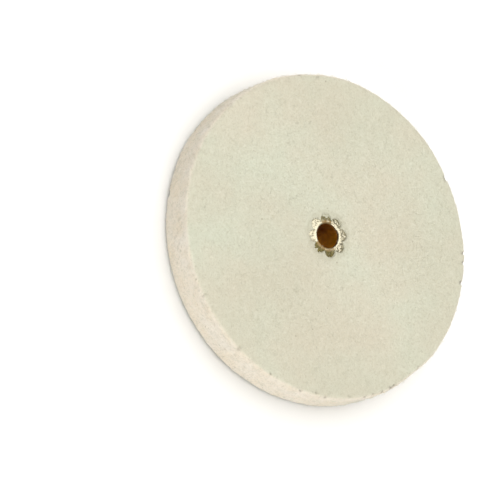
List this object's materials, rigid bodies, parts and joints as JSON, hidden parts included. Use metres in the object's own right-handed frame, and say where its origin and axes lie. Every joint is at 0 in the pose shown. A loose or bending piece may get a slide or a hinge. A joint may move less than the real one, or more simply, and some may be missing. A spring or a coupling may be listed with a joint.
{
  "type": "felt polishing wheel",
  "caption": "Flat white pressed felt disc with a metal eyelet clinched through its arbor hole, for polishing on a spindle.",
  "frame": {"origin": "middle of the wheel, on the arbor axis, halfway through the felt's thickness", "axes": "+Z along the arbor axis, out of the face that shows the eyelet's petals; X and Y across the disc, which is round, so their turn is free"},
  "size_m": [0.08, 0.08, 0.0098],
  "materials": {
    "felt": "matte",
    "plated_metal": "satin"
  },
  "bodies": {
    "root": {"felt_disc": "felt", "eyelet": "plated_metal"}
  },
  "joints": []
}
